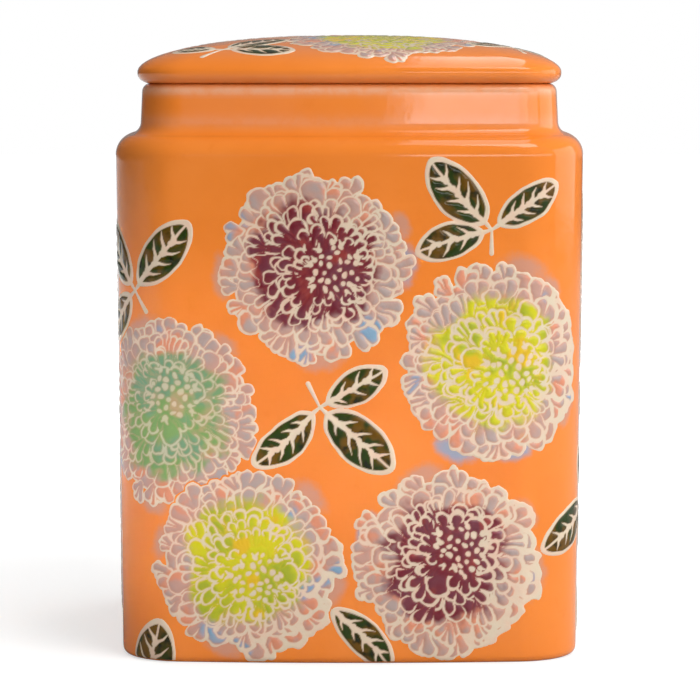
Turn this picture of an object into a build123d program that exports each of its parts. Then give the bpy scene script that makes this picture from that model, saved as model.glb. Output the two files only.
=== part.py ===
"""Glazed stoneware storage canister: square tapering jar with a short neck, and a lift-off lid.

Millimetres, +Z up. The origin is on the table under the middle of the foot ring, and the front
face looks along -Y. Every outline is the same rounded square with slightly bowed faces, inset
by more or less from the widest one, so neighbouring walls stay parallel.
"""
from build123d import *
from math import acos, asin, atan2, cos, degrees, sin, sqrt
import os

# ---------------------------------------------------------------- driving dimensions
body_width = 165.0          # across two faces at the shoulder, where the jar is widest
foot_width = 162.0          # across two faces at the table
corner_radius = 24.0        # of the widest outline
face_radius = 680.0         # the faces bow outwards very slightly
wall = 5.5                  # thickness of the stoneware

shoulder_height = 172.6     # where the straight faces end
shoulder_round = 7.0        # outer radius of the shoulder
neck_cove = 4.5             # hollow radius between the shoulder and the neck
neck_foot_width = 147.6     # across the neck where the cove ends
neck_top_width = 146.6      # across the neck at the rim
rim_height = 197.0          # where the lid rests
rim_outer_round = 3.0
rim_inner_round = 2.0

foot_edge_round = 2.5       # between the faces and the foot ring
foot_ring_width = 7.5       # flat unglazed ring that stands on the table
foot_recess = 2.5           # the rest of the underside stands this high
foot_recess_slope = 0.8     # how far the recess wall leans inwards
floor_thickness = 6.0
floor_cove = 6.0            # hollow radius between the floor and the walls
wall_foot_reach = 17.0      # how far the swept wall carries the floor inwards
plate_overlap = 0.5         # how far the floor plate runs into the swept wall

lid_width = 149.8           # across the lid's rounded edge, wider than the neck
lid_edge_height = 3.85      # from the rim up to the widest level of the edge
lid_edge_round = 3.4        # under the edge
dome_height = 13.1          # from the widest level to the top
dome_bands = 14             # straight bands that the dome is built from
dome_crown = 0.06           # outline scale of the small flat crown
dome_power = 2.2            # the dome is a superellipse, a little fuller than an ellipse

flange_width = 130.6        # locating flange that drops into the mouth
flange_wall = 4.0
flange_depth = 11.0         # below the rim
flange_edge_round = 1.2
hollow_height = 6.0         # straight part of the hollow inside the lid, above the rim
hollow_dome = 5.6           # its domed part
hollow_bands = 7

groove_height = 5.6         # seat of the seal, cut into the flange
groove_depth = 1.2
groove_top_gap = 2.2        # flange left between the rim level and the groove
seal_body = 2.0             # radial thickness of the seal's band
lip_thickness = 1.0
lip_height_fraction = (0.16, 0.5, 0.84)    # where the three lips stand on the band
mouth_clearance = 0.3       # between the lips and the mouth

# ---------------------------------------------------------------- outline geometry
half_width = body_width / 2
face_centre = half_width - face_radius
corner_centre = (face_centre + sqrt(2 * (face_radius - corner_radius) ** 2 - face_centre ** 2)) / 2
face_half_angle = atan2(corner_centre, corner_centre - face_centre)


def outline_point(inset, turn):
    """A point of the outline at an inset; turn 0 is mid-face, +-1 a face's end, +-2 mid-corner."""
    side = 1 if turn >= 0 else -1
    if abs(turn) <= 1:
        reach = face_radius - inset
        angle = face_half_angle * turn
        return (face_centre + reach * cos(angle), reach * sin(angle))
    reach = (corner_radius - inset) * sqrt(0.5)
    return (corner_centre + reach, side * (corner_centre + reach))


def turned(point, quarter):
    """The point turned about the origin by whole quarters."""
    x, y = point
    for _ in range(quarter):
        x, y = -y, x
    return (x, y)


def outline_wire(inset, scale=1.0):
    """Four bowed faces and four corners, tangent to each other, beginning at the middle of +X."""
    def at(turn, quarter):
        x, y = turned(outline_point(inset, turn), quarter)
        return (x * scale, y * scale)

    ThreePointArc(at(0, 0), at(0.5, 0), at(1, 0))
    for quarter in range(4):
        ThreePointArc(at(1, quarter), at(2, quarter), at(-1, quarter + 1))
        if quarter < 3:
            ThreePointArc(at(-1, quarter + 1), at(0, quarter + 1), at(1, quarter + 1))
    ThreePointArc(at(-1, 0), at(-0.5, 0), at(0, 0))


def inset_of(width):
    return (body_width - width) / 2


def shoulder_curve(start, turn_angle, round_radius, cove_radius):
    """Shoulder round and neck cove, going up from the end of the straight wall."""
    shoulder = JernArc(start=start, tangent=(0, 1), radius=round_radius, arc_size=turn_angle)
    return JernArc(start=shoulder @ 1, tangent=shoulder % 1, radius=cove_radius, arc_size=-turn_angle)


# ---------------------------------------------------------------- jar
shoulder_step = (body_width - neck_foot_width) / 2
shoulder_angle = degrees(2 * asin(sqrt(shoulder_step / (shoulder_round + neck_cove) / 2)))
foot_half = foot_width / 2
rim_half = neck_top_width / 2
mouth_half = rim_half - wall
floor_level = foot_recess + floor_thickness
cove_level = floor_level + floor_cove
face_lean = (half_width - foot_half) / (shoulder_height - foot_edge_round)
inner_foot_half = foot_half + face_lean * (cove_level - foot_edge_round) - wall
plate_half = foot_half - wall_foot_reach

with BuildSketch(Plane.XZ) as wall_profile:
    with BuildLine():
        foot_in = (foot_half - foot_edge_round - foot_ring_width, 0)
        foot_out = (foot_half - foot_edge_round, 0)
        Line(foot_in, foot_out)
        foot_edge = JernArc(start=foot_out, tangent=(1, 0), radius=foot_edge_round, arc_size=90)
        Line(foot_edge @ 1, (half_width, shoulder_height))
        cove = shoulder_curve((half_width, shoulder_height), shoulder_angle, shoulder_round, neck_cove)
        Line(cove @ 1, (rim_half, rim_height - rim_outer_round))
        rim_out = JernArc(start=(rim_half, rim_height - rim_outer_round), tangent=(0, 1),
                          radius=rim_outer_round, arc_size=90)
        Line(rim_out @ 1, (mouth_half + rim_inner_round, rim_height))
        rim_in = JernArc(start=(mouth_half + rim_inner_round, rim_height), tangent=(-1, 0),
                         radius=rim_inner_round, arc_size=90)
        inner_cove = shoulder_curve((half_width - wall, shoulder_height), shoulder_angle,
                                    shoulder_round - wall, neck_cove + wall)
        Line(rim_in @ 1, inner_cove @ 1)
        Line((half_width - wall, shoulder_height), (inner_foot_half, cove_level))
        JernArc(start=(inner_foot_half, cove_level), tangent=(0, -1),
                radius=floor_cove, arc_size=-90)
        Line((inner_foot_half - floor_cove, floor_level), (plate_half, floor_level))
        Line((plate_half, floor_level), (plate_half, foot_recess))
        Line((plate_half, foot_recess), (foot_in[0] - foot_recess_slope, foot_recess))
        Line((foot_in[0] - foot_recess_slope, foot_recess), foot_in)
    make_face()

with BuildPart() as jar_quarter:
    profile = wall_profile.sketch.faces()[0]
    face_axis = Axis((face_centre, 0, 0), (0, 0, 1))
    corner_axis = Axis((corner_centre, corner_centre, 0), (0, 0, 1))
    face_angle = degrees(face_half_angle)
    revolve(profile.rotate(face_axis, -face_angle), axis=face_axis, revolution_arc=2 * face_angle)
    revolve(profile.rotate(face_axis, face_angle), axis=corner_axis, revolution_arc=90 - 2 * face_angle)

with BuildPart() as jar:
    with PolarLocations(0, 4):
        add(jar_quarter.part)
    with BuildSketch(Plane.XY.offset(foot_recess)):
        with BuildLine():
            outline_wire(half_width - plate_half - plate_overlap)
        make_face()
    extrude(amount=floor_thickness)
jar.part.label = "jar"

# ---------------------------------------------------------------- lid
lid_inset = inset_of(lid_width)
flange_inset = inset_of(flange_width)
lid_edge_level = rim_height + lid_edge_height
hollow_level = rim_height + hollow_height
groove_top = rim_height - groove_top_gap
groove_bottom = groove_top - groove_height


def dome_sections(inset, bands, base_level, height):
    """Scaled copies of one outline, from a dome's widest level up to its small flat crown."""
    sections = []
    last_turn = acos(dome_crown ** (dome_power / 2))
    for band in range(bands + 1):
        step = cos(last_turn * band / bands) ** (2 / dome_power)
        level = base_level + height * sqrt(1 - step ** dome_power)
        with BuildSketch(Plane.XY.offset(level)) as section:
            with BuildLine():
                outline_wire(inset, step)
            make_face()
        sections.append(section.sketch)
    return sections


with BuildPart() as lid:
    with BuildSketch(Plane.XY.offset(rim_height)):
        with BuildLine():
            outline_wire(lid_inset)
        make_face()
    extrude(amount=lid_edge_height)
    under_edge = lid.edges().group_by(Axis.Z)[0]
    fillet(under_edge, radius=lid_edge_round)
    loft(sections=dome_sections(lid_inset, dome_bands, lid_edge_level, dome_height), ruled=True)
    with BuildSketch(Plane.XY.offset(rim_height + plate_overlap)):
        with BuildLine():
            outline_wire(flange_inset)
        make_face()
    extrude(amount=-(flange_depth + plate_overlap))
    fillet(lid.edges().group_by(Axis.Z)[0], radius=flange_edge_round)
    with BuildSketch(Plane.XY.offset(rim_height - flange_depth)):
        with BuildLine():
            outline_wire(flange_inset + flange_wall)
        make_face()
    extrude(amount=flange_depth + hollow_height, mode=Mode.SUBTRACT)
    hollow_sections = dome_sections(flange_inset + flange_wall, hollow_bands, hollow_level, hollow_dome)
    loft(sections=hollow_sections, ruled=True, mode=Mode.SUBTRACT)
    with BuildSketch(Plane.XY.offset(groove_bottom)):
        with BuildLine():
            outline_wire(flange_inset - plate_overlap)
        make_face()
        with BuildLine():
            outline_wire(flange_inset + groove_depth)
        make_face(mode=Mode.SUBTRACT)
    extrude(amount=groove_height, mode=Mode.SUBTRACT)
lid.part.label = "lid"

# ---------------------------------------------------------------- seal
band_inset = flange_inset + groove_depth
band_face_inset = band_inset - seal_body
lip_inset = half_width - mouth_half + mouth_clearance

with BuildPart() as lid_seal:
    with BuildSketch(Plane.XY.offset(groove_bottom)):
        with BuildLine():
            outline_wire(band_face_inset)
        make_face()
        with BuildLine():
            outline_wire(band_inset)
        make_face(mode=Mode.SUBTRACT)
    extrude(amount=groove_height)
    for fraction in lip_height_fraction:
        with BuildSketch(Plane.XY.offset(groove_bottom + groove_height * fraction - lip_thickness / 2)):
            with BuildLine():
                outline_wire(lip_inset)
            make_face()
            with BuildLine():
                outline_wire(band_face_inset + seal_body / 2)
            make_face(mode=Mode.SUBTRACT)
        extrude(amount=lip_thickness)
lid_seal.part.label = "lid_seal"

# ---------------------------------------------------------------- output
os.makedirs("parts", exist_ok=True)
export_step(jar.part, "parts/jar.step")
export_step(lid.part, "parts/lid.step")
export_step(lid_seal.part, "parts/lid_seal.step")
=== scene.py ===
"""Looks of the square glazed canister: glaze, wax-relief flowers and leaves, studio and camera.

Lengths are millimetres until a mesh is made, and then metres. The jar's outline is a rounded
square with slightly bowed faces; "around" is the distance along it from the middle of the front
face, growing to the right. The flowers and leaves are thin relief pieces that lie on the glaze.
"""

import math
from collections import namedtuple

import bpy
import numpy as np
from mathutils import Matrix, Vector


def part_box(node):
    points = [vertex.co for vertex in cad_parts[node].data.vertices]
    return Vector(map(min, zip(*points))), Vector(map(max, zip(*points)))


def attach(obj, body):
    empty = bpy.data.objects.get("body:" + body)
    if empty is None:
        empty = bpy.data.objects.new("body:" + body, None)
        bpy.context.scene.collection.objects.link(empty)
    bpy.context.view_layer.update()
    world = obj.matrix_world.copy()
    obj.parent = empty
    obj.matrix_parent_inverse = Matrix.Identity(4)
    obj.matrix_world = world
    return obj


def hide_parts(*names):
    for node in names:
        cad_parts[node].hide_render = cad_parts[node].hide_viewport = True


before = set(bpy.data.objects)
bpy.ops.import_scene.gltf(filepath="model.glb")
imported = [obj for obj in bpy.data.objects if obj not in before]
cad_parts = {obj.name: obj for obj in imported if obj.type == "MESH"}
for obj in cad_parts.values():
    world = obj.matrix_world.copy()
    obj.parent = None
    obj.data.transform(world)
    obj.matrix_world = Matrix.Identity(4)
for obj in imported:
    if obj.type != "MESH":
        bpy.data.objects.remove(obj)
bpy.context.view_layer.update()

MM = 0.001

# ---------------- sizes, from the frame
_, jar_high = (np.array(corner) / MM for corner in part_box("jar"))
lid_low, lid_high = (np.array(corner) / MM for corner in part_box("lid"))
seal_low, seal_high = (np.array(corner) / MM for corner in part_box("lid_seal"))
HALF_WIDTH = jar_high[0]
RIM = jar_high[2]
LID_HALF = lid_high[0]
LID_TOP = lid_high[2]
FLANGE_FOOT = lid_low[2]
GROOVE_FOOT, GROOVE_TOP = seal_low[2], seal_high[2]

# ---------------- the jar's design, as built
CORNER_RADIUS = 24.0
FACE_RADIUS = 680.0
WALL = 5.5
SHOULDER = 172.6
SHOULDER_ROUND = 7.0
NECK_COVE = 4.5
NECK_FOOT_HALF = 73.8
NECK_TOP_HALF = 73.3
NECK_FOOT_INSET = HALF_WIDTH - NECK_FOOT_HALF
NECK_TOP_INSET = HALF_WIDTH - NECK_TOP_HALF
RIM_OUTER_ROUND = 3.0
RIM_INNER_ROUND = 2.0
FOOT_INSET = 1.5
FOOT_ROUND = 2.5
FOOT_RING = 7.5
FOOT_RECESS = 2.5
FOOT_RING_SLOPE = 1.1      # how far the ring's inner side runs in as it rises to the recess
FOOT_RING_EDGE = 0.3       # the small bevel at the foot of that side
FOOT_RING_LIFT = 0.2
FLOOR = 8.5
FLOOR_COVE = 6.0
FLOOR_SPREAD = 0.1         # the inside is this much wider at the top of the cove than at the foot
MIDDLE_INSET = 20.0        # from this inset a section closes on the middle by scale
MIDDLE_SCALES = (0.05, 0.3, 0.6, 0.85, 1.0)
LID_EDGE = 3.85
RELIEF_ROOM = 0.35         # the glaze lies this much lower than the dome, under its relief
LID_EDGE_ROUND = 3.4
LID_EDGE_REACH = 4.4       # how far in the rounded underside of the edge runs
DOME_POWER = 2.2
FLANGE_HALF = 65.3
FLANGE_WALL = 4.0
FLANGE_ROUND = 1.2
GROOVE_DEPTH = 1.2
HOLLOW_STRAIGHT = 6.0
HOLLOW_DOME = 5.6

# Rings of the sections that the glaze is placed by.
UNDER_RINGS = 12           # from the middle of the underside to the foot ring's inner edge
DOME_RINGS = 60
EDGE_RINGS = 9             # round the underside of the lid's edge
REST_RINGS = 3             # across the ledge that rests on the jar's rim

# ---------------- outline
FACE_CENTRE = HALF_WIDTH - FACE_RADIUS
CORNER_CENTRE = (FACE_CENTRE + math.sqrt(2 * (FACE_RADIUS - CORNER_RADIUS) ** 2 - FACE_CENTRE ** 2)) / 2
FACE_ANGLE = math.atan2(CORNER_CENTRE, CORNER_CENTRE - FACE_CENTRE)
FACE_HALF = FACE_ANGLE * FACE_RADIUS
CORNER_LENGTH = CORNER_RADIUS * (math.pi / 2 - 2 * FACE_ANGLE)
QUARTER = 2 * FACE_HALF + CORNER_LENGTH
FRONT = -math.pi / 2


def outline(around, inset):
    """Points of the outline at an inset, and the direction that each faces."""
    quarter = np.floor((around + FACE_HALF) / QUARTER)
    local = around - quarter * QUARTER
    on_face = local <= FACE_HALF
    facing = np.where(on_face, local / FACE_RADIUS, FACE_ANGLE + (local - FACE_HALF) / CORNER_RADIUS)
    reach = np.where(on_face, FACE_RADIUS, CORNER_RADIUS) - inset
    x = np.where(on_face, FACE_CENTRE, CORNER_CENTRE) + reach * np.cos(facing)
    y = np.where(on_face, 0.0, CORNER_CENTRE) + reach * np.sin(facing)
    turn = FRONT + quarter * math.pi / 2
    return (x * np.cos(turn) - y * np.sin(turn), x * np.sin(turn) + y * np.cos(turn), facing + turn)


def outline_steps(face_steps, corner_steps):
    """Distances along the whole outline, evenly spaced on each face and each corner."""
    face = np.linspace(-FACE_HALF, FACE_HALF, face_steps, endpoint=False)
    corner = np.linspace(FACE_HALF, FACE_HALF + CORNER_LENGTH, corner_steps, endpoint=False)
    quarter = np.concatenate([face, corner])
    return np.concatenate([quarter + QUARTER * k for k in range(4)])


# ---------------- meshes
def make_object(name, points, faces, attributes=None):
    """A smooth mesh object from points in millimetres, with float attributes on its points."""
    mesh = bpy.data.meshes.new(name)
    mesh.from_pydata((points * MM).tolist(), [], faces)
    for key, values in (attributes or {}).items():
        layer = mesh.attributes.new(key, "FLOAT", "POINT")
        layer.data.foreach_set("value", np.asarray(values, np.float32))
    mesh.polygons.foreach_set("use_smooth", np.ones(len(mesh.polygons), bool))
    mesh.update()
    piece = bpy.data.objects.new(name, mesh)
    bpy.context.scene.collection.objects.link(piece)
    return piece


def arc(centre, radius, start, end, steps):
    """Points of an arc in a section, from one angle to another in degrees; 0 points outwards."""
    angles = np.radians(np.linspace(start, end, steps))
    return [(centre[0] - radius * math.cos(a), centre[1] + radius * math.sin(a), 1.0) for a in angles]


def line(start, end, steps):
    """Points between two section points, without the first."""
    parts = np.linspace(0, 1, steps + 1)[1:]
    return [(start[0] + (end[0] - start[0]) * p, start[1] + (end[1] - start[1]) * p, 1.0) for p in parts]


def turned_shell(name, section, around, attributes):
    """A closed shell: a section of (inset, height, scale) carried round the outline, closed by two poles."""
    section = np.array(section)
    columns = len(around)
    rings = []
    for inset, height, scale in section:
        x, y, _ = outline(around, inset)
        rings.append(np.column_stack([x * scale, y * scale, np.full(columns, height)]))
    first = np.array([[0.0, 0.0, section[0][1]]])
    last = np.array([[0.0, 0.0, section[-1][1]]])
    points = np.concatenate(rings + [first, last])
    here = np.arange(columns)
    there = np.roll(here, -1)
    faces = []
    for ring in range(len(section) - 1):
        low, high = ring * columns, (ring + 1) * columns
        faces.extend(np.column_stack([low + here, low + there, high + there, high + here]).tolist())
    first_pole = len(section) * columns
    faces.extend(np.column_stack([there, here, np.full(columns, first_pole)]).tolist())
    top = (len(section) - 1) * columns
    faces.extend(np.column_stack([top + here, top + there, np.full(columns, first_pole + 1)]).tolist())
    values = {}
    for key, per_ring in attributes.items():
        per_ring = np.asarray(per_ring, float)
        if per_ring.ndim == 1:
            per_ring = np.repeat(per_ring[:, None], columns, axis=1)
        values[key] = np.concatenate([per_ring.ravel(), [per_ring[0].mean(), per_ring[-1].mean()]])
    return make_object(name, points, faces, values)


def smooth_step(x):
    x = np.clip(x, 0.0, 1.0)
    return x * x * (3 - 2 * x)


# ---------------- drawn patterns
def lattice_noise(u, v, cell, seed):
    """Smooth noise from -1 to 1 whose patches are about one cell wide."""
    size = 64
    table = np.random.default_rng(seed).uniform(-1, 1, (size, size))
    x, y = u / cell + size * 0.27, v / cell + size * 0.14
    column, row = np.floor(x).astype(int), np.floor(y).astype(int)
    fx, fy = smooth_step(x - column), smooth_step(y - row)

    def corner(i, j):
        return table[(column + i) % size, (row + j) % size]

    return ((corner(0, 0) * (1 - fx) + corner(1, 0) * fx) * (1 - fy)
            + (corner(0, 1) * (1 - fx) + corner(1, 1) * fx) * fy)


def stroke(u, v, start, end, start_radius, end_radius):
    """Signed distance to a round-ended tapering stroke, and how far along it each point is."""
    du, dv = end[0] - start[0], end[1] - start[1]
    along = np.clip(((u - start[0]) * du + (v - start[1]) * dv) / (du * du + dv * dv), 0, 1)
    gap = np.hypot(u - start[0] - du * along, v - start[1] - dv * along)
    return gap - (start_radius + (end_radius - start_radius) * along), along


# Rings of petals from the rim to the heart, as parts of the flower's radius: tip radius, petal
# length, petals, lobes, cream line, how far the petals' bases stay open, plumpness of the lobes
# and unevenness of the tips.
PETAL_RINGS = (
    (0.98, 0.23, 27, 2, 0.030, 0.10, 1.08, 0.06),
    (0.84, 0.25, 22, 2, 0.025, 0.35, 1.08, 0.06),
    (0.71, 0.32, 20, 2, 0.025, 0.55, 0.80, 0.10),
    (0.57, 0.29, 17, 2, 0.027, 0.70, 0.80, 0.10),
    (0.43, 0.22, 13, 2, 0.028, 0.90, 0.80, 0.10),
)
HEART = np.array((0.20, -0.07))     # the heart sits off the middle of the flower
HEART_PULL = 1.1                    # how strongly the inner rings follow it
HEART_DOTS = 34
LEAF_MARGIN = 1.25
LEAF_FULLNESS = 0.60                # a lower power is a blunter leaf
CELL_FULLNESS = 0.64
TWIG_GAP = 2.6                      # from a sprig's node to the foot of each leaf


def petal_shape(u, v, rng, ring, angle, out, size, line_width):
    """Signed distances to a lobed petal and to the same petal with cream notches in its tip."""
    tip, length, count, lobes, _, _, plumpness, _ = ring
    length = length * size
    shift = HEART * (1 - tip) * HEART_PULL
    lobes = int(np.clip(lobes + rng.integers(-1, 2) * (rng.random() < 0.55), 1, 4))
    lean_angle = angle + rng.uniform(-0.22, 0.22)
    half = math.pi / count * tip * 0.98 * size
    ray = np.array((math.cos(angle), math.sin(angle)))
    lean = np.array((math.cos(lean_angle), math.sin(lean_angle)))
    side = np.array((-lean[1], lean[0]))
    base = shift + ray * out - lean * length
    radius = min(half / lobes * plumpness, length * 0.4)
    curl = rng.uniform(-0.3, 0.3)
    ends = []
    shape = np.full(u.shape, 9.0)
    along = np.zeros(u.shape)
    for lobe in range(lobes):
        offset = 0.0 if lobes == 1 else lobe / (lobes - 1) * 2 - 1
        lobe_radius = radius * rng.uniform(0.82, 1.12)
        droop = length * (0.26 * rng.random() + 0.10 * abs(offset))
        sideways = offset * (half - radius) + curl * radius
        end = shift + ray * (out - lobe_radius) + side * sideways - lean * droop
        gap, part = stroke(u, v, base + side * offset * half * 0.16, end, radius * 0.42, lobe_radius)
        along = np.where(gap < shape, part, along)
        shape = np.minimum(shape, gap)
        ends.append(end)
    notched = shape
    for left, right in zip(ends[:-1], ends[1:]):
        middle = (left + right) / 2 + lean * radius * 1.1
        depth = length * (rng.uniform(0.40, 0.62) + 0.28 * (1 - tip))
        towards = middle + (base - middle) * depth / max(np.hypot(*(base - middle)), 1e-6)
        notch, _ = stroke(u, v, middle, towards, line_width * 0.62, line_width * 0.10)
        notched = np.maximum(notched, -notch)
    return shape, notched, along


def flower_fields(u, v, seed, cream=1.0, heavy_side=None):
    """Signed distances to a flower's silhouette and to its cells of glaze, for a radius of 1."""
    rng = np.random.default_rng(seed)
    wobble = [lattice_noise(u, v, cell, seed + k) for k, cell in enumerate((0.17, 0.05, 0.17, 0.05))]
    u = u + 0.018 * wobble[0] + 0.0085 * wobble[1]
    v = v + 0.018 * wobble[2] + 0.0085 * wobble[3]
    silhouette = np.hypot(u, v) - 0.86
    cells = np.hypot(u, v) - 0.83
    line_noise = lattice_noise(u, v, 0.085, seed + 5)
    for level, ring in enumerate(PETAL_RINGS):
        tip, length, count, _, cream_line, opening, _, unevenness = ring
        cream_line = cream_line * cream
        phase = rng.random()
        for petal in rng.permutation(count):
            angle = 2 * math.pi * (petal + phase + rng.uniform(-0.3, 0.3)) / count
            size = rng.uniform(0.78, 1.25)
            out = tip + unevenness * rng.uniform(-1, 1)
            ray = np.array((math.cos(angle), math.sin(angle)))
            middle = HEART * (1 - tip) * HEART_PULL + ray * (out - length / 2)
            near = np.hypot(u - middle[0], v - middle[1]) < length * 1.1 + 0.1
            un, vn = u[near], v[near]
            shape, notched, along = petal_shape(un, vn, rng, ring, angle, out, size, cream_line)
            width = cream_line * (1 + 0.45 * line_noise[near])
            if heavy_side is not None and level < 2:
                towards = np.clip(np.cos(np.arctan2(vn, un) - heavy_side), 0, 1) ** 2
                width = width * (1 + 1.2 * towards)
            closed = np.clip((along - 0.3 - 0.4 * opening) / 0.25, 0, 1)
            width = width - (width + 0.02) * opening * (1 - closed)
            body = shape - width
            cells[near] = np.minimum(np.maximum(cells[near], -body), notched)
            silhouette[near] = np.minimum(silhouette[near], body)
    bed = np.hypot(u - HEART[0], v - HEART[1]) - 0.22 - 0.035 * lattice_noise(u, v, 0.08, seed + 6)
    cells = np.minimum(cells, bed)
    return silhouette, heart_dots(u, v, rng, cells, cream)


def heart_dots(u, v, rng, cells, cream):
    """The cells with cream dots over the heart, and small forked ones round them."""
    golden = math.pi * (3 - math.sqrt(5))
    for dot in range(HEART_DOTS):
        reach = 0.015 + 0.265 * math.sqrt((dot + 0.5) / HEART_DOTS)
        turn = golden * dot + rng.uniform(-0.14, 0.14)
        size = rng.uniform(0.023, 0.034) * (0.85 + 0.15 * cream)
        squash = rng.uniform(0.82, 1.2)
        place = HEART + reach * np.array((math.cos(turn), math.sin(turn)))
        dot_shape = np.hypot((u - place[0]) * squash, (v - place[1]) / squash) - size
        if reach > 0.2 and rng.random() < 0.5:
            for lean in (-0.55, 0.55):
                tip = place + size * 1.9 * np.array((math.cos(turn + lean), math.sin(turn + lean)))
                prong, _ = stroke(u, v, place, tip, size * 0.75, size * 0.36)
                dot_shape = np.minimum(dot_shape, prong)
        cells = np.maximum(cells, -dot_shape)
    return cells


def leaf_half_width(x, start, end, widest, fullness):
    """Half the width of a leaf shape along its length."""
    part = np.clip((x - start) / (end - start), 0, 1)
    return widest * (4 * part * (1 - part)) ** fullness


def leaf_shape(x, y, start, end, widest, fullness):
    """Signed distance, nearly, to a leaf shape along x."""
    step = 0.15
    half = leaf_half_width(x, start, end, widest, fullness)
    slope = (leaf_half_width(x + step, start, end, widest, fullness)
             - leaf_half_width(x - step, start, end, widest, fullness)) / (2 * step)
    shape = (np.abs(y) - half) / np.sqrt(1 + np.clip(slope, -2.5, 2.5) ** 2)
    beyond = np.maximum(start - x, x - end)
    return np.where(beyond > 0, np.hypot(np.maximum(beyond, 0), y), shape)


def leaf_fields(u, v, base, tip, width, seed):
    """Signed distances to a leaf's silhouette and to the dark cells between its cream veins."""
    rng = np.random.default_rng(seed)
    du, dv = tip[0] - base[0], tip[1] - base[1]
    length = math.hypot(du, dv)
    cos, sin = du / length, dv / length
    x = (u - base[0]) * cos + (v - base[1]) * sin
    y = (v - base[1]) * cos - (u - base[0]) * sin
    bend = rng.uniform(-0.05, 0.05) * length
    y = y + bend * 4 * (x / length) * (1 - x / length)
    x = x + 0.25 * lattice_noise(u, v, 4.0, seed)
    y = y + 0.25 * lattice_noise(u, v, 3.2, seed + 1)
    silhouette = leaf_shape(x, y, 0.0, length, width / 2, LEAF_FULLNESS)
    margin = LEAF_MARGIN * (1 + 0.2 * lattice_noise(u, v, 5.0, seed + 2))
    cells = leaf_shape(x, y, 1.5 * LEAF_MARGIN, length - 1.7 * LEAF_MARGIN, width / 2 - margin, CELL_FULLNESS)
    midrib, _ = stroke(x, y, (0, 0), (length, 0), 1.0, 0.36)
    cells = np.maximum(cells, -midrib)
    pairs = 3 if length < 26 else 4
    for pair in range(pairs):
        for side in (-1, 1):
            spread = 0.58 * (pair + 0.3 * (side > 0) + rng.uniform(-0.12, 0.12)) / (pairs - 0.6)
            start = length * (0.17 + spread)
            room = leaf_half_width(start + 1.5, 0.0, length, width / 2 - LEAF_MARGIN, CELL_FULLNESS)
            reach = max(room * rng.uniform(0.66, 0.92), 1.2)
            elbow = (start + reach * 0.42, side * reach * 0.58)
            end = (elbow[0] + reach * rng.uniform(0.35, 0.6), side * reach * 0.95)
            web, _ = stroke(x, y, (start - 0.5, 0), (start + reach * 0.16, side * reach * 0.22), 1.15, 0.72)
            near, _ = stroke(x, y, (start, 0), elbow, 0.74, 0.46)
            far, _ = stroke(x, y, elbow, end, 0.46, 0.14)
            cells = np.maximum(cells, -np.minimum(np.minimum(near, far), web))
    return silhouette, cells


def sprig_fields(u, v, node, leaves, stem, seed):
    """Leaves joined at a node, with a short stem."""
    silhouette = np.full(u.shape, 99.0)
    cells = np.full(u.shape, 99.0)
    if stem is not None:
        twig, _ = stroke(u, v, node, stem, 0.55, 0.95)
        silhouette = np.minimum(silhouette, twig)
    for number, (tip, width) in enumerate(leaves):
        reach = math.hypot(tip[0] - node[0], tip[1] - node[1])
        gap = TWIG_GAP if stem is not None else 0.0
        base = (node[0] + (tip[0] - node[0]) * gap / reach, node[1] + (tip[1] - node[1]) * gap / reach)
        outer, inner = leaf_fields(u, v, base, tip, width, seed + 10 * number)
        silhouette = np.minimum(silhouette, outer)
        cells = np.minimum(cells, inner)
        if stem is not None:
            link, _ = stroke(u, v, node, base, 0.55, 0.9)
            silhouette = np.minimum(silhouette, link)
    return silhouette, cells


# ---------------- surfaces that the patterns lie on
def wall_inset(height):
    """Inset of the outer wall at a height, with the rounds at its foot and shoulder."""
    slope = FOOT_INSET * (SHOULDER - height) / (SHOULDER - FOOT_ROUND)
    below = np.clip(FOOT_ROUND - height, 0, FOOT_ROUND)
    above = np.clip(height - SHOULDER, 0, SHOULDER_ROUND * 0.95)
    foot = FOOT_INSET + FOOT_ROUND - np.sqrt(FOOT_ROUND ** 2 - below ** 2)
    shoulder = SHOULDER_ROUND - np.sqrt(SHOULDER_ROUND ** 2 - above ** 2)
    return np.where(height < FOOT_ROUND, foot, np.where(height > SHOULDER, shoulder, slope))


def on_wall(around, height, proud):
    """Points that stand proud of the outer wall."""
    step = 0.05
    inset = wall_inset(height)
    lean = (wall_inset(height + step) - wall_inset(height - step)) / (2 * step)
    x, y, facing = outline(around, inset)
    scale = proud / np.sqrt(1 + lean ** 2)
    return np.column_stack([x + np.cos(facing) * scale, y + np.sin(facing) * scale, height + lean * scale])


LID_INSET = HALF_WIDTH - LID_HALF
LID_EDGE_LEVEL = RIM + LID_EDGE
DOME_HEIGHT = LID_TOP - LID_EDGE_LEVEL - RELIEF_ROOM


def lid_outline():
    """Directions from the lid's middle, in order, and how far its edge is in each."""
    x, y, _ = outline(outline_steps(64, 32), LID_INSET)
    angle = np.arctan2(y, x)
    order = np.argsort(angle)
    return angle[order], np.hypot(x, y)[order]


LID_ANGLES, LID_REACH = lid_outline()


def dome_scale(x, y):
    """How far a plan position lies from the lid's middle, as a part of the way to its edge."""
    reach = np.interp(np.arctan2(y, x), LID_ANGLES, LID_REACH, period=2 * math.pi)
    return np.hypot(x, y) / reach


def dome_level(x, y):
    scale = np.clip(dome_scale(x, y), 0, 1)
    return LID_EDGE_LEVEL + DOME_HEIGHT * np.sqrt(1 - scale ** DOME_POWER)


def on_lid(x, y, proud):
    """Points that stand proud of the lid's dome, from plan positions."""
    step = 0.3
    level = dome_level(x, y)
    slope_x = (dome_level(x + step, y) - dome_level(x - step, y)) / (2 * step)
    slope_y = (dome_level(x, y + step) - dome_level(x, y - step)) / (2 * step)
    scale = proud / np.sqrt(1 + slope_x ** 2 + slope_y ** 2)
    return np.column_stack([x - slope_x * scale, y - slope_y * scale, level + scale])


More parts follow.
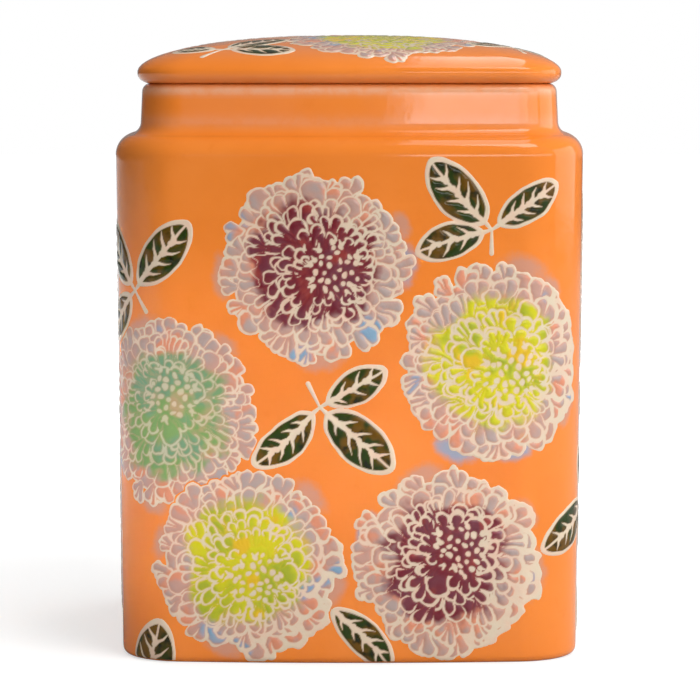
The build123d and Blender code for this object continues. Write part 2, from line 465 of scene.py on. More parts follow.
# ---------------- relief pieces
GRID = 0.32             # spacing of a relief piece's mesh
PLATE = 0.14            # how far the cream stands out of the glaze around it
POOL = 0.22             # how much further the coloured glaze swells
SINK = 0.05             # the piece's edge dips this far into the glaze
EDGE_RISE = 0.5         # the cream rises to its full height this far in from its edge
POOL_REACH = 0.6        # distance from a line in which most of a cell's swell is gained
OVERLAP_GAP = 0.25      # a motif is cut back this far from one that lies over it
TABLE_GAP = 0.6         # the relief stops this high above the table
DOME_PART = 0.985       # and this part of the way to the lid's edge
FLOWER_ROOM = 1.12      # the mesh of a flower reaches this many radii
SPRIG_ROOM = 7          # and of a sprig, this far past its ends


# A flower or a sprig: where it lies, half the side of its mesh, and how it is drawn.
Motif = namedtuple("Motif", "name centre reach draw heart surface")


def flower(name, centre, radius, turn, heart, seed, cream=1.0, heavy_side=None, surface="wall"):
    turn = math.radians(turn)
    heavy = None if heavy_side is None else math.radians(heavy_side) - turn

    def draw(u, v):
        du, dv = (u - centre[0]) / radius, (v - centre[1]) / radius
        x = du * math.cos(turn) + dv * math.sin(turn)
        y = dv * math.cos(turn) - du * math.sin(turn)
        silhouette, cells = flower_fields(x, y, seed, cream, heavy)
        return silhouette * radius, cells * radius

    return Motif(name, centre, radius * FLOWER_ROOM, draw, heart, surface)


def sprig(name, node, leaves, stem, seed, surface="wall"):
    ends = np.array([node] + [tip for tip, _ in leaves] + ([stem] if stem else []), float)
    low, high = ends.min(axis=0), ends.max(axis=0)
    centre = tuple((low + high) / 2)
    reach = max(high - low) / 2 + SPRIG_ROOM

    def draw(u, v):
        return sprig_fields(u, v, node, leaves, stem, seed)

    return Motif(name, centre, reach, draw, None, surface)


def far_apart(one, other):
    du = abs(one.centre[0] - other.centre[0])
    if one.surface == "wall":
        du = min(du, 4 * QUARTER - du)
    return max(du, abs(one.centre[1] - other.centre[1])) > one.reach + other.reach


def shifted(u, motif, other):
    """Distances around the jar, in the turn nearest to the other motif."""
    if motif.surface != "wall":
        return u
    turns = round((other.centre[0] - motif.centre[0]) / (4 * QUARTER))
    return u + turns * 4 * QUARTER


def relief_piece(motif, later):
    """The motif's thin raised mesh, cut away where a later motif lies over it."""
    steps = int(2 * motif.reach / GRID) + 1
    ticks = np.linspace(-motif.reach, motif.reach, steps)
    u, v = np.meshgrid(ticks + motif.centre[0], ticks + motif.centre[1], indexing="ij")
    spacing = ticks[1] - ticks[0]
    silhouette, cells = motif.draw(u, v)
    for other in later:
        if other.surface == motif.surface and not far_apart(motif, other):
            over, _ = other.draw(shifted(u, motif, other), v)
            silhouette = np.maximum(silhouette, OVERLAP_GAP - over)
    if motif.surface == "wall":
        silhouette = np.maximum(silhouette, TABLE_GAP - v)
    else:
        silhouette = np.maximum(silhouette, (dome_scale(u, v) - DOME_PART) * LID_HALF)
    slope_u, slope_v = np.gradient(silhouette, spacing)
    steep = np.maximum(np.hypot(slope_u, slope_v), 0.3)
    edge = np.abs(silhouette) < 0.55 * spacing
    u = u - np.where(edge, silhouette * slope_u / steep ** 2, 0)
    v = v - np.where(edge, silhouette * slope_v / steep ** 2, 0)
    silhouette = np.where(edge, 0, silhouette)
    inside = silhouette <= 0
    quads = inside[:-1, :-1] & inside[1:, :-1] & inside[1:, 1:] & inside[:-1, 1:]
    index = np.arange(steps * steps).reshape(steps, steps)
    corners = np.stack([index[:-1, :-1], index[1:, :-1], index[1:, 1:], index[:-1, 1:]], axis=-1)[quads]
    used = np.unique(corners)
    renumber = np.zeros(steps * steps, int)
    renumber[used] = np.arange(len(used))
    u, v, silhouette, cells = (field.ravel()[used] for field in (u, v, silhouette, cells))
    depth = np.clip(-cells, 0, None)
    rise = smooth_step(-silhouette / EDGE_RISE)
    proud = -SINK + (PLATE + SINK) * rise + POOL * (1 - np.exp(-depth / POOL_REACH)) * rise
    place = on_wall if motif.surface == "wall" else on_lid
    points = place(u, v, proud)
    attributes = {"glaze": smooth_step(0.5 - (cells - 0.07) / 0.3), "pool": 1 - np.exp(-depth / 0.8)}
    if motif.heart:
        reach = motif.reach / FLOWER_ROOM
        du, dv = (u - motif.centre[0]) / reach, (v - motif.centre[1]) / reach
        attributes["heart"] = np.hypot(du, dv)
    return make_object(motif.name, points, renumber[corners].tolist(), attributes)


# ---------------- where the motifs lie
# Flowers on the walls: name, (around, height), radius, turn, heart colour, seed, cream, heavy side.
WALL_FLOWERS = (
    ("front_top", (-12, 136), 33.5, 8, "plum", 3, 1.0, None),
    ("front_left", (-62, 86), 33, 95, "green", 11, 0.85, None),
    ("front_right", (49, 103), 34.5, -12, "lime", 24, 1.05, 0),
    ("front_low_left", (-35, 35), 33, -40, "lime", 37, 1.0, -40),
    ("front_low_right", (33, 35), 33, 60, "plum", 52, 1.2, -20),
    ("right_top", (124, 128), 33, 30, "lime", 61, 1.0, None),
    ("right_low", (150, 40), 33, 150, "green", 73, 1.0, None),
    ("right_middle", (188, 92), 33.5, 80, "plum", 84, 1.1, 90),
    ("back_low_right", (214, 35), 32.5, -70, "lime", 95, 1.0, None),
    ("back_top_right", (233, 137), 33.5, 10, "green", 106, 1.0, None),
    ("back_middle", (264, 82), 33, 200, "plum", 117, 1.0, None),
    ("back_low", (300, 35), 32.5, 40, "green", 128, 1.1, 180),
    ("back_top_left", (320, 128), 34, -30, "lime", 139, 1.0, None),
    ("left_back", (358, 74), 33, 120, "plum", 150, 1.2, None),
    ("left_top", (396, 130), 33.5, 75, "green", 161, 1.0, None),
    ("left_middle", (421, 68), 33, -15, "lime", 172, 1.0, 45),
    ("left_front", (457, 124), 33, 100, "plum", 183, 1.0, None),
    ("left_low", (478, 42), 32.5, 30, "green", 194, 1.05, None),
)
# Sprigs on the walls: name, node, ((tip, width), ...), stem end or None for a bare leaf.
WALL_SPRIGS = (
    ("front_top", (48, 148), (((27, 172), 16), ((72, 164), 12.5), ((22, 140), 13)), (48, 140)),
    ("front_middle", (-10, 88), (((13, 101), 12.5), ((-33, 68), 13.5), ((15, 66), 16.5)), (-14, 96)),
    ("left_corner", (-75, 127), (((-54, 151), 15), ((-97, 150), 14.5), ((-96, 110), 13.5)), (-70, 120)),
    ("front_foot_left", (-72, -13), (((-65, 15), 18),), None),
    ("front_foot", (-6, 19), (((15, -2), 12.5),), None),
    ("right_corner", (97, 54), (((66, 38), 14.5), ((91, 74), 11.5), ((113, 33), 12.5)), (104, 59)),
    ("right_front", (114, 79), (((138, 85), 12.3), ((97.5, 93), 11.5)), (113, 72)),
    ("right_top", (164, 142), (((188, 158), 13.6), ((152, 169), 12.8), ((160, 114), 13.1)), (172, 138)),
    ("right_foot", (98, 8), (((122, 18), 12.8),), None),
    ("back_right_top", (275, 118), (((277, 152), 14.1),), None),
    ("back_right_foot", (254, 4), (((259, 34), 13.6),), None),
    ("back_left_top", (357, 149), (((341, 169), 12.8), ((377, 168), 13.6)), (357, 141)),
    ("left_foot", (376, 23), (((348, 13), 13.8), ((402, 17), 14.1), ((381, -2), 12)), (385, 31)),
    ("left_front_foot", (424, 8), (((444, 26), 12.3),), None),
    ("left_high", (426, 148), (((429, 173), 12.3),), None),
)
# The same on the lid, in plan.
LID_FLOWERS = (
    ("front", (11, -37), 34.5, 20, "lime", 209, 1.0, None),
    ("left", (-38, 18), 30.5, 110, "plum", 216, 1.0, None),
    ("right", (30.5, 35.5), 30.5, -60, "green", 227, 1.0, None),
)
LID_SPRIGS = (
    ("left_front", (-43, -59), (((-61, -57), 11), ((-18, -62), 14.5), ((-21, -37), 12)), (-50, -67)),
    ("right_front", (57, -46), (((40, -48), 12), ((69, -21), 11), ((48, -17), 10.5)), (60, -58)),
    ("back", (-8, 58), (((-34, 62), 9.4), ((-5, 34), 8.4)), (-1, 64)),
)


# ---------------- materials
def srgb(red, green, blue):
    """Linear colour from 8-bit display values."""
    def linear(value):
        value = value / 255
        return value / 12.92 if value <= 0.04045 else ((value + 0.055) / 1.055) ** 2.4
    return (linear(red), linear(green), linear(blue), 1.0)


def map_range(tree, value, low, high, to_low, to_high):
    """A value carried smoothly from one range to another."""
    node = tree.nodes.new("ShaderNodeMapRange")
    node.interpolation_type = "SMOOTHSTEP"
    for socket, number in (("From Min", low), ("From Max", high), ("To Min", to_low), ("To Max", to_high)):
        node.inputs[socket].default_value = number
    tree.links.new(value, node.inputs["Value"])
    return node.outputs["Result"]


class Nodes:
    """Short names for building a node material."""

    def __init__(self, name):
        self.material = bpy.data.materials.new(name)
        self.material.use_nodes = True
        self.tree = self.material.node_tree
        self.tree.nodes.clear()
        self.output = self.tree.nodes.new("ShaderNodeOutputMaterial")
        self.shader = self.tree.nodes.new("ShaderNodeBsdfPrincipled")
        self.link(self.shader.outputs[0], self.output.inputs[0])
        self.place = self.tree.nodes.new("ShaderNodeTexCoord").outputs["Object"]

    def link(self, source, target):
        self.tree.links.new(source, target)

    def attribute(self, name):
        node = self.tree.nodes.new("ShaderNodeAttribute")
        node.attribute_name = name
        return node.outputs["Fac"]

    def noise(self, scale, detail=2.0, roughness=0.5, offset=0.0):
        mapping = self.tree.nodes.new("ShaderNodeMapping")
        mapping.inputs["Location"].default_value = (offset, offset * 0.7, -offset)
        self.link(self.place, mapping.inputs["Vector"])
        node = self.tree.nodes.new("ShaderNodeTexNoise")
        node.inputs["Scale"].default_value = scale
        node.inputs["Detail"].default_value = detail
        node.inputs["Roughness"].default_value = roughness
        self.link(mapping.outputs[0], node.inputs["Vector"])
        return node.outputs["Fac"]

    def ramp(self, value, low, high, to_low=0.0, to_high=1.0):
        return map_range(self.tree, value, low, high, to_low, to_high)

    def math(self, operation, first, second):
        node = self.tree.nodes.new("ShaderNodeMath")
        node.operation = operation
        for socket, value in zip(node.inputs, (first, second)):
            if isinstance(value, (int, float)):
                socket.default_value = value
            else:
                self.link(value, socket)
        return node.outputs[0]

    def mix(self, factor, first, second):
        node = self.tree.nodes.new("ShaderNodeMix")
        node.data_type = "RGBA"
        self.link(factor, node.inputs["Factor"])
        for socket, value in ((node.inputs[6], first), (node.inputs[7], second)):
            if isinstance(value, tuple):
                socket.default_value = value
            else:
                self.link(value, socket)
        return node.outputs[2]

    def bump(self, height, distance, normal=None):
        node = self.tree.nodes.new("ShaderNodeBump")
        node.inputs["Distance"].default_value = distance
        self.link(height, node.inputs["Height"])
        if normal is not None:
            self.link(normal, node.inputs["Normal"])
        return node.outputs["Normal"]

    def finish(self, colour, roughness, normal):
        self.link(colour, self.shader.inputs["Base Color"])
        self.link(roughness, self.shader.inputs["Roughness"])
        self.link(normal, self.shader.inputs["Normal"])
        return self.material


ORANGE = srgb(218, 119, 37)
ORANGE_LIGHT = srgb(224, 126, 46)
ORANGE_DEEP = srgb(211, 110, 29)
CREAM = srgb(203, 187, 163)
CREAM_WARM = srgb(209, 180, 157)
MAUVE = srgb(176, 136, 122)
MAUVE_GREY = srgb(160, 142, 136)
MAUVE_PINK = srgb(200, 128, 98)
SPRAY_BLUE = srgb(106, 148, 176)
STONEWARE = srgb(216, 204, 184)
INSIDE = srgb(232, 224, 208)


def jar_glaze(name):
    """Orange glaze: mottled, thin and pale on edges, with a painted reflection as a pale band at the neck's
    foot, sprayed with mauve and blue, and bare in places.
    """
    n = Nodes(name)
    colour = n.mix(n.ramp(n.noise(22, 3, 0.55), 0.35, 0.7), ORANGE, ORANGE_LIGHT)
    colour = n.mix(n.ramp(n.noise(9, 2, 0.5, 3.0), 0.55, 0.8, 0.0, 0.6), colour, ORANGE_DEEP)
    streak = n.ramp(n.noise(160, 4, 0.6, 1.0), 0.58, 0.75, 0.0, 0.25)
    colour = n.mix(streak, colour, ORANGE_DEEP)
    spray_edge = n.noise(190, 3, 0.6, 5.0)
    mauve = n.ramp(n.math("ADD", n.attribute("mauve"), n.math("MULTIPLY", spray_edge, 0.7)), 0.6, 1.25)
    colour = n.mix(n.math("MULTIPLY", mauve, 0.72), colour, MAUVE)
    blue = n.ramp(n.math("ADD", n.attribute("blue"), n.math("MULTIPLY", spray_edge, 0.7)), 0.65, 1.25)
    colour = n.mix(n.math("MULTIPLY", blue, 0.8), colour, SPRAY_BLUE)
    # Paler towards cream: thin glaze at the rim and the lid's edge, and a painted reflection at the neck's
    # foot.
    thin_glaze_and_sheen = n.math("MULTIPLY", n.attribute("thin_glaze_and_sheen"), n.ramp(n.noise(240, 3, 0.6, 2.0), 0.2, 0.6, 0.55, 1.0))
    colour = n.mix(thin_glaze_and_sheen, colour, CREAM_WARM)
    colour = n.mix(n.attribute("inside"), colour, INSIDE)
    bare = n.attribute("bare")
    grit = n.noise(2600, 3, 0.7, 4.0)
    colour = n.mix(n.math("MULTIPLY", bare, n.ramp(grit, 0.3, 0.5, 0.85, 1.0)), colour, STONEWARE)
    gloss = n.ramp(n.noise(130, 3, 0.5, 6.0), 0.3, 0.7, 0.07, 0.13)
    roughness = n.math("ADD", gloss, n.math("MULTIPLY", bare, 0.6))
    swell = n.bump(n.noise(38, 1, 0.5, 7.0), 0.00012)
    peel = n.bump(n.noise(420, 2, 0.5, 8.0), 0.00002, swell)
    normal = n.bump(n.math("MULTIPLY", grit, bare), 0.00025, peel)
    return n.finish(colour, roughness, normal)


# Heart colours, and how far the spray tints the cream lines there.
HEARTS = {
    "plum": (srgb(100, 22, 34), srgb(100, 40, 52), srgb(132, 44, 40), 0.05),
    "lime": (srgb(186, 182, 12), srgb(150, 160, 30), srgb(204, 166, 20), 0.08),
    "green": (srgb(112, 146, 82), srgb(104, 140, 106), srgb(166, 140, 104), 0.4),
}


def cream_wax(n):
    return n.mix(n.ramp(n.noise(150, 3, 0.6, 7.0), 0.35, 0.7), CREAM, CREAM_WARM)


def finish_relief(n, colour):
    roughness = n.ramp(n.noise(300, 2, 0.5, 8.0), 0.3, 0.7, 0.08, 0.16)
    normal = n.bump(n.noise(700, 2, 0.5, 9.0), 0.00006)
    return n.finish(colour, roughness, normal)


def flower_glaze(name, heart):
    """Cream wax lines round cells of sprayed glaze, with another colour sprayed over the heart."""
    n = Nodes(name)
    main, second, third, tint = HEARTS[heart]
    colour = n.mix(n.ramp(n.noise(85, 2, 0.5, 1.0), 0.40, 0.62), MAUVE, MAUVE_GREY)
    colour = n.mix(n.ramp(n.noise(120, 2, 0.5, 2.0), 0.52, 0.68), colour, MAUVE_PINK)
    colour = n.mix(n.ramp(n.noise(62, 1, 0.5, 3.0), 0.62, 0.70, 0.0, 0.9), colour, SPRAY_BLUE)
    heart_colour = n.mix(n.ramp(n.noise(80, 2, 0.5, 4.0), 0.42, 0.62), main, second)
    heart_colour = n.mix(n.ramp(n.noise(110, 2, 0.5, 5.0), 0.54, 0.70), heart_colour, third)
    reach = n.math("ADD", n.attribute("heart"), n.math("MULTIPLY", n.noise(75, 3, 0.6, 6.0), 0.62))
    inner = n.ramp(reach, 0.88, 1.02, 1.0, 0.0)
    colour = n.mix(inner, colour, heart_colour)
    pool = n.attribute("pool")
    shallow = n.mix(n.ramp(pool, 0.0, 0.55, 0.45, 0.0), colour, n.mix(inner, MAUVE_PINK, third))
    cream = n.mix(n.math("MULTIPLY", inner, tint), cream_wax(n), heart_colour)
    return finish_relief(n, n.mix(n.attribute("glaze"), cream, shallow))


LEAF_GREEN = srgb(34, 50, 6)
LEAF_BROWN = srgb(92, 62, 6)
LEAF_DARK = srgb(24, 28, 4)


def leaf_glaze(name):
    """Dark green glaze that breaks to brown, between cream veins."""
    n = Nodes(name)
    n.shader.inputs["Specular IOR Level"].default_value = 0.3
    colour = n.mix(n.ramp(n.noise(110, 2, 0.5, 1.0), 0.47, 0.60), LEAF_GREEN, LEAF_BROWN)
    colour = n.mix(n.ramp(n.noise(210, 2, 0.5, 2.0), 0.5, 0.7), colour, LEAF_DARK)
    pool = n.attribute("pool")
    colour = n.mix(n.ramp(pool, 0.0, 0.5, 0.5, 0.0), colour, LEAF_BROWN)
    return finish_relief(n, n.mix(n.attribute("glaze"), cream_wax(n), colour))


def silicone(name):
    """Translucent silicone, a little dusty."""
    n = Nodes(name)
    colour = n.mix(n.ramp(n.noise(90, 3, 0.5), 0.3, 0.7), srgb(226, 224, 214), srgb(208, 206, 196))
    roughness = n.ramp(n.noise(400, 3, 0.6, 1.0), 0.3, 0.7, 0.34, 0.5)
    normal = n.bump(n.noise(1500, 2, 0.5, 2.0), 0.00004)
    n.shader.inputs["Subsurface Weight"].default_value = 0.25
    n.shader.inputs["Subsurface Radius"].default_value = (0.003, 0.003, 0.0025)
    return n.finish(colour, roughness, normal)


# ---------------- jar
def jar_section():
    """The jar's whole section from the middle of its underside, up the outside and down the inside."""
    step = NECK_FOOT_INSET
    angle = math.degrees(2 * math.asin(math.sqrt(step / (SHOULDER_ROUND + NECK_COVE) / 2)))
    foot_in = FOOT_INSET + FOOT_ROUND + FOOT_RING
    points = [(MIDDLE_INSET, FOOT_RECESS, scale) for scale in MIDDLE_SCALES]
    points += line(points[-1], (foot_in + FOOT_RING_SLOPE, FOOT_RECESS), 3)
    points += line(points[-1], (foot_in + FOOT_RING_EDGE, FOOT_RING_LIFT), 3)
    points += [(foot_in - FOOT_RING_LIFT / 2, 0.0, 1.0)]
    points += line(points[-1], (FOOT_INSET + FOOT_ROUND, 0.0), 5)
    points += arc((FOOT_INSET + FOOT_ROUND, FOOT_ROUND), FOOT_ROUND, -88, 0, 9)
    points += line(points[-1], (0.0, SHOULDER), 100)
    points += arc((SHOULDER_ROUND, SHOULDER), SHOULDER_ROUND, 0, angle, 16)[1:]
    cove_centre = (step - NECK_COVE, points[-1][1] + NECK_COVE * math.sin(math.radians(angle)))
    points += arc(cove_centre, -NECK_COVE, angle, 0, 11)[1:]
    points += line(points[-1], (NECK_TOP_INSET, RIM - RIM_OUTER_ROUND), 9)
    points += arc((NECK_TOP_INSET + RIM_OUTER_ROUND, RIM - RIM_OUTER_ROUND), RIM_OUTER_ROUND, 0, 90, 9)[1:]
    inner = NECK_TOP_INSET + WALL
    lip = inner - RIM_INNER_ROUND
    points += line(points[-1], (lip, RIM), 1)
    points += [(lip + RIM_INNER_ROUND * math.sin(a), RIM - RIM_INNER_ROUND * (1 - math.cos(a)), 1.0)
               for a in np.radians(np.linspace(12, 90, 7))]
    cove_top = cove_centre[1]
    points += line(points[-1], (NECK_FOOT_INSET + WALL, cove_top), 6)
    points += arc((cove_centre[0], cove_top), -(NECK_COVE + WALL), 0, angle, 10)[1:]
    points += arc((SHOULDER_ROUND, SHOULDER), SHOULDER_ROUND - WALL, angle, 0, 7)[1:]
    inner_foot = FOOT_INSET + WALL - FLOOR_SPREAD
    points += line(points[-1], (inner_foot, FLOOR + FLOOR_COVE), 12)
    points += [(inner_foot + FLOOR_COVE * (1 - math.cos(a)), FLOOR + FLOOR_COVE * (1 - math.sin(a)), 1.0)
               for a in np.radians(np.linspace(11, 90, 7))]
    points += line(points[-1], (MIDDLE_INSET, FLOOR), 3)
    points += [(MIDDLE_INSET, FLOOR, scale) for scale in MIDDLE_SCALES[-2::-1]]
    return points


def spray(around, height, motifs):
    """Soft patches of overspray outside the flowers' outlines: how mauve and how blue each place is."""
    mauve = np.zeros(around.shape)
    blue = np.zeros(around.shape)
    for number, motif in enumerate(motifs):
        rng = np.random.default_rng(900 + number)
        radius = motif.reach / FLOWER_ROOM
        for _ in range(5):
            angle = rng.uniform(0, 2 * math.pi)
            reach = radius * rng.uniform(0.90, 0.98)
            size = rng.uniform(3.5, 7.0)
            du = around - motif.centre[0] - reach * math.cos(angle)
            du = (du + 2 * QUARTER) % (4 * QUARTER) - 2 * QUARTER
            dv = height - motif.centre[1] - reach * math.sin(angle)
            turn = angle + math.pi / 2
            along = (du * math.cos(turn) + dv * math.sin(turn)) / 1.8
            across = dv * math.cos(turn) - du * math.sin(turn)
            strength = np.clip(1.2 - np.hypot(along, across) / size, 0, 1)
            if rng.random() < 0.18:
                blue = np.maximum(blue, strength)
            else:
                mauve = np.maximum(mauve, strength)
    return mauve, blue


# Where the jar's glaze runs thin at the rim, and where a pale band of painted reflection lies at the neck's
# foot: height, spread and strength.
THIN_RIM = (RIM - 2.2, 1.5, 0.5)
# The band at the neck's foot is a painted reflection line, not thin glaze.
PAINTED_COVE_SHEEN = (SHOULDER + 11.5, 2.2, 0.16)
SPRAY_LOW, SPRAY_HIGH = 1.0, SHOULDER + 8


def pale_band(height, band):
    middle, spread, strength = band
    return strength * np.exp(-((height - middle) / spread) ** 2)


def jar_shell(motifs):
    """The visible jar, with how thin, sprayed, bare or inside each ring of its glaze is, and its painted
    reflection at the neck's foot.
    """
    section = np.array(jar_section())
    around = outline_steps(76, 22)
    height = section[:, 1]
    order = np.arange(len(section))
    rim_ring = int(np.argmax(height))
    outside = order < rim_ring
    mauve, blue = spray(around[None, :], height[:, None], motifs)
    wall = (outside & (height > SPRAY_LOW) & (height < SPRAY_HIGH))[:, None]
    thin_rim = pale_band(height, THIN_RIM)
    # Painted reflection: a pale band along the foot of the neck.
    painted_cove_sheen = pale_band(height, PAINTED_COVE_SHEEN) * outside
    attributes = {
        "thin_glaze_and_sheen": np.maximum(thin_rim, painted_cove_sheen),
        "inside": smooth_step((order - rim_ring - 4) / 3.0),
        "bare": (order < UNDER_RINGS).astype(float),
        "mauve": mauve * wall,
        "blue": blue * wall,
    }
    return turned_shell("jar_shell", section, around, attributes)


# ---------------- lid
def lid_section():
    """The lid's whole section, from the top of its dome, round its edge, to the top of its hollow."""
    points = [(LID_INSET, LID_EDGE_LEVEL + DOME_HEIGHT * math.cos(a), math.sin(a) ** (2 / DOME_POWER))
              for a in np.radians(np.linspace(3, 90, DOME_RINGS))]
    points += line(points[-1], (LID_INSET, RIM + LID_EDGE_ROUND), 1)
    points += [(LID_INSET + LID_EDGE_REACH * (1 - math.cos(a)), RIM + LID_EDGE_ROUND * (1 - math.sin(a)), 1.0)
               for a in np.radians(np.linspace(10, 90, EDGE_RINGS))]
    flange = HALF_WIDTH - FLANGE_HALF
    groove = flange + GROOVE_DEPTH
    runs = (((flange, RIM), REST_RINGS), ((flange, GROOVE_TOP), 2), ((groove, GROOVE_TOP), 1),
            ((groove, GROOVE_FOOT), 2), ((flange, GROOVE_FOOT), 1), ((flange, FLANGE_FOOT + FLANGE_ROUND), 2))
    for end, steps in runs:
        points += line(points[-1], end, steps)
    points += arc((flange + FLANGE_ROUND, FLANGE_FOOT + FLANGE_ROUND), FLANGE_ROUND, 0, -90, 5)[1:]
    points += line(points[-1], (flange + FLANGE_WALL - FLANGE_ROUND, FLANGE_FOOT), 1)
    inner = flange + FLANGE_WALL
    points += [(inner - FLANGE_ROUND * (1 - math.sin(a)), FLANGE_FOOT + FLANGE_ROUND * (1 - math.cos(a)), 1.0)
               for a in np.radians(np.linspace(18, 90, 5))]
    points += line(points[-1], (inner, RIM + HOLLOW_STRAIGHT), 8)
    points += [(inner, RIM + HOLLOW_STRAIGHT + HOLLOW_DOME * math.cos(a), math.sin(a) ** (2 / DOME_POWER))
               for a in np.radians(np.linspace(86, 3, 18))]
    return points


def lid_shell():
    """The visible lid: glaze thin round its edge, bare where it rests, and cream inside."""
    section = lid_section()
    order = np.arange(len(section))
    edge_middle = DOME_RINGS + 5
    rest_ring = DOME_RINGS + 1 + EDGE_RINGS
    thin_glaze_and_sheen = 0.12 * np.exp(-((order - edge_middle) / 3.0) ** 2)
    inside = smooth_step((order - rest_ring - 2) / 2.0)
    bare = np.zeros(len(section))
    bare[rest_ring:rest_ring + REST_RINGS] = 1.0
    zero = np.zeros(len(section))
    attributes = {"thin_glaze_and_sheen": thin_glaze_and_sheen, "inside": inside, "bare": bare, "mauve": zero, "blue": zero}
    return turned_shell("lid_shell", section, outline_steps(48, 18), attributes)


# ---------------- assembly
WALL_SPRIG_SEED, LID_SPRIG_SEED, SEED_STEP = 400, 1300, 50


def build_object():
    wall_motifs = [flower(name + "_flower", *rest) for name, *rest in WALL_FLOWERS]
    lid_motifs = [flower("lid_" + name + "_flower", *rest, surface="lid") for name, *rest in LID_FLOWERS]
    motifs = wall_motifs + lid_motifs
    for number, (name, *rest) in enumerate(WALL_SPRIGS):
        motifs.append(sprig(name + "_sprig", *rest, WALL_SPRIG_SEED + SEED_STEP * number))
    for number, (name, *rest) in enumerate(LID_SPRIGS):
        seed = LID_SPRIG_SEED + SEED_STEP * number
        motifs.append(sprig("lid_" + name + "_sprig", *rest, seed, surface="lid"))

    glaze = jar_glaze("orange_glaze")
    jar = jar_shell(wall_motifs)
    jar.data.materials.append(glaze)
    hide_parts("jar")
    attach(jar, "jar")
    lid = lid_shell()
    lid.data.materials.append(glaze)
    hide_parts("lid")
    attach(lid, "lid")

    hearts = {heart: flower_glaze(heart + "_flower_glaze", heart) for heart in HEARTS}
    leaves = leaf_glaze("leaf_glaze")
    for number, motif in enumerate(motifs):
        piece = relief_piece(motif, motifs[number + 1:])
        piece.data.materials.append(hearts[motif.heart] if motif.heart else leaves)
        on_jar = motif.surface == "wall"
        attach(piece, "jar" if on_jar else "lid")

    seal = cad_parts["lid_seal"]
    seal.data.materials.clear()
    seal.data.materials.append(silicone("seal_silicone"))


# ---------------- studio, in metres
# Soft boxes: name, middle, what it faces, width, height, radiance, beam angle, seen in the glaze.
# The two overhead face a point 0.1 mm off straight down.
SOFT_BOXES = (
    ("panel_right", (0.2965, -1.6, 0.34), (0.2965, 0.0, 0.34), 0.329, 0.19, 4.4, 180, True),
    ("panel_far_right", (0.81, -1.6, 0.34), (0.81, 0.0, 0.34), 0.698, 0.19, 3.4, 180, True),
    ("panel_corner", (1.43, -1.18, 0.36), (0.0, 0.0, 0.36), 1.0, 0.3, 2.0, 180, True),
    ("panel_left", (-0.268, -1.6, 0.34), (-0.268, 0.0, 0.34), 0.302, 0.19, 0.5, 180, True),
    ("front_fill", (0.50, -1.65, 0.46), (0.10, 0.0, 0.10), 0.80, 0.5, 2.8, 180, False),
    ("key", (1.15, -1.15, 1.15), (0.0, 0.0, 0.12), 1.5, 1.1, 4.6, 180, False),
    ("glint", (0.62, -0.79, 1.75), (0.0, 0.0, 0.15), 0.7, 0.6, 5.5, 180, True),
    ("overhead", (0.27, 0.40, 1.7), (0.27, 0.4001, 0.0), 0.36, 2.2, 2.4, 180, True),
    ("top_fill", (-0.25, -0.30, 1.6), (-0.25, -0.2999, 0.0), 1.2, 1.2, 0.3, 180, False),
    ("fill_left", (-1.5, -0.80, 0.20), (0.0, 0.0, 0.05), 1.0, 0.4, 1.4, 180, False),
    ("low_left", (-1.25, -0.85, 0.075), (0.0, 0.0, 0.075), 0.7, 0.11, 0.6, 4, False),
    ("side_right", (1.6, 0.15, 0.52), (0.0, 0.0, 0.3), 1.5, 0.95, 1.6, 180, True),
    ("back_left", (-1.3, 1.5, 1.3), (0.0, 0.0, 0.1), 1.2, 1.0, 4.0, 180, False),
    ("back_right", (1.2, 1.6, 1.3), (0.0, 0.0, 0.1), 1.2, 1.0, 4.0, 180, False),
)
FLOOR_FRONT, FLOOR_BACK, FLOOR_SIDE = -1.15, 6.0, 4.0
FLOOR_SHEEN = 0.55          # brightness of the table at the left, as the glaze mirrors it
WORLD_LEFT, WORLD_RIGHT = 0.12, 0.4
CAMERA_SENSOR, CAMERA_LENS = 36.0, 171.0    # millimetres
CAMERA_PLACE = (0.0002, -1.2, 0.205)
CAMERA_TILT = 4.985                         # degrees below level


def soft_box(name, middle, target, width, height, radiance, beam, seen):
    lamp = bpy.data.lights.new(name, "AREA")
    lamp.shape = "RECTANGLE"
    lamp.size = width
    lamp.size_y = height
    lamp.energy = radiance * math.pi * width * height
    lamp.spread = math.radians(beam)
    holder = bpy.data.objects.new(name, lamp)
    bpy.context.scene.collection.objects.link(holder)
    holder.location = middle
    holder.visible_glossy = seen
    aim = Vector(target) - Vector(middle)
    holder.rotation_euler = aim.to_track_quat("-Z", "Y").to_euler()


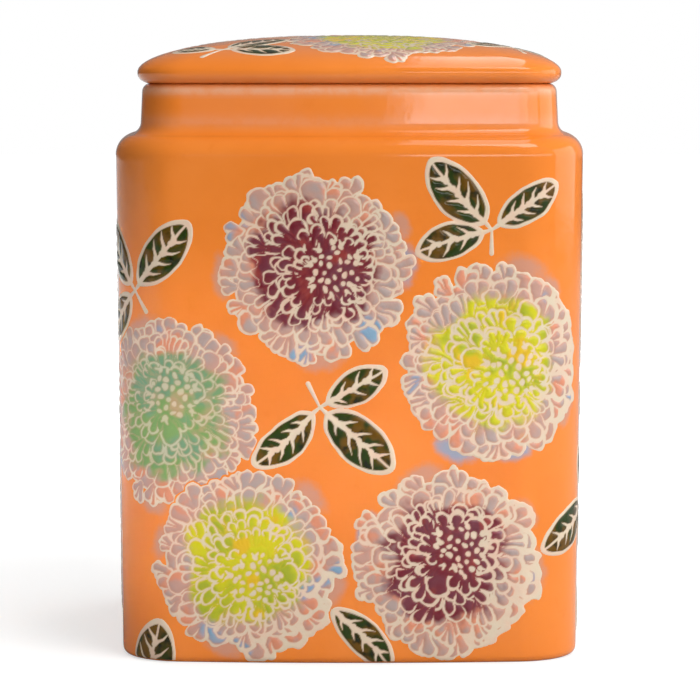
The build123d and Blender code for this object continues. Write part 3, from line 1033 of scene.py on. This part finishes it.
def build_floor():
    """A pale table that also glows: white to the camera, and dimmer at the left in the glaze's mirror."""
    mesh = bpy.data.meshes.new("floor")
    corners = [(-FLOOR_SIDE, FLOOR_FRONT, 0), (FLOOR_SIDE, FLOOR_FRONT, 0),
               (FLOOR_SIDE, FLOOR_BACK, 0), (-FLOOR_SIDE, FLOOR_BACK, 0)]
    mesh.from_pydata(corners, [], [(0, 1, 2, 3)])
    floor = bpy.data.objects.new("floor", mesh)
    bpy.context.scene.collection.objects.link(floor)
    n = Nodes("pale_floor")
    colour = n.mix(n.ramp(n.noise(3, 2), 0.3, 0.7), srgb(186, 186, 186), srgb(182, 182, 182))
    n.shader.inputs["Specular IOR Level"].default_value = 0.1
    n.shader.inputs["Emission Color"].default_value = (1, 1, 1, 1)
    reach = n.tree.nodes.new("ShaderNodeVectorMath")
    reach.operation = "LENGTH"
    n.link(n.place, reach.inputs[0])
    fade = n.ramp(reach.outputs["Value"], 0.15, 0.8, 0.58, 1.0)
    path = n.tree.nodes.new("ShaderNodeLightPath")
    parts = n.tree.nodes.new("ShaderNodeSeparateXYZ")
    n.link(n.place, parts.inputs[0])
    sheen = n.ramp(parts.outputs["X"], -0.45, -0.15, FLOOR_SHEEN, 0.0)
    seen = n.math("MULTIPLY", fade, path.outputs["Is Camera Ray"])
    mirrored = n.math("MULTIPLY", sheen, path.outputs["Is Glossy Ray"])
    n.link(n.math("ADD", seen, mirrored), n.shader.inputs["Emission Strength"])
    normal = n.bump(n.noise(200, 2), 0.00002)
    floor.data.materials.append(n.finish(colour, n.ramp(n.noise(8, 2), 0.3, 0.7, 0.7, 0.8), normal))


def build_world():
    """White where the camera sees it; for the light it gives, dim and a little brighter to the right."""
    world = bpy.data.worlds.new("studio")
    bpy.context.scene.world = world
    world.use_nodes = True
    tree = world.node_tree
    tree.nodes.clear()
    output = tree.nodes.new("ShaderNodeOutputWorld")
    seen = tree.nodes.new("ShaderNodeBackground")
    seen.inputs["Color"].default_value = (1, 1, 1, 1)
    lit = tree.nodes.new("ShaderNodeBackground")
    lit.inputs["Color"].default_value = (1, 1, 1, 1)
    direction = tree.nodes.new("ShaderNodeTexCoord").outputs["Generated"]
    parts = tree.nodes.new("ShaderNodeSeparateXYZ")
    tree.links.new(direction, parts.inputs[0])
    strength = map_range(tree, parts.outputs["X"], -0.8, 0.8, WORLD_LEFT, WORLD_RIGHT)
    tree.links.new(strength, lit.inputs["Strength"])
    choose = tree.nodes.new("ShaderNodeMixShader")
    path = tree.nodes.new("ShaderNodeLightPath")
    tree.links.new(path.outputs["Is Camera Ray"], choose.inputs["Fac"])
    tree.links.new(lit.outputs[0], choose.inputs[1])
    tree.links.new(seen.outputs[0], choose.inputs[2])
    tree.links.new(choose.outputs[0], output.inputs["Surface"])


def build_studio():
    for box in SOFT_BOXES:
        soft_box(*box)
    build_floor()
    build_world()


def build_camera():
    camera = bpy.data.cameras.new("camera")
    camera.sensor_width = CAMERA_SENSOR
    camera.lens = CAMERA_LENS
    camera.clip_start = 0.05
    holder = bpy.data.objects.new("camera", camera)
    bpy.context.scene.collection.objects.link(holder)
    holder.location = CAMERA_PLACE
    holder.rotation_euler = (math.radians(90 - CAMERA_TILT), 0.0, 0.0)
    bpy.context.scene.camera = holder


build_object()
build_studio()
build_camera()
bpy.context.scene.view_settings.view_transform = "Standard"

bpy.context.view_layer.update()
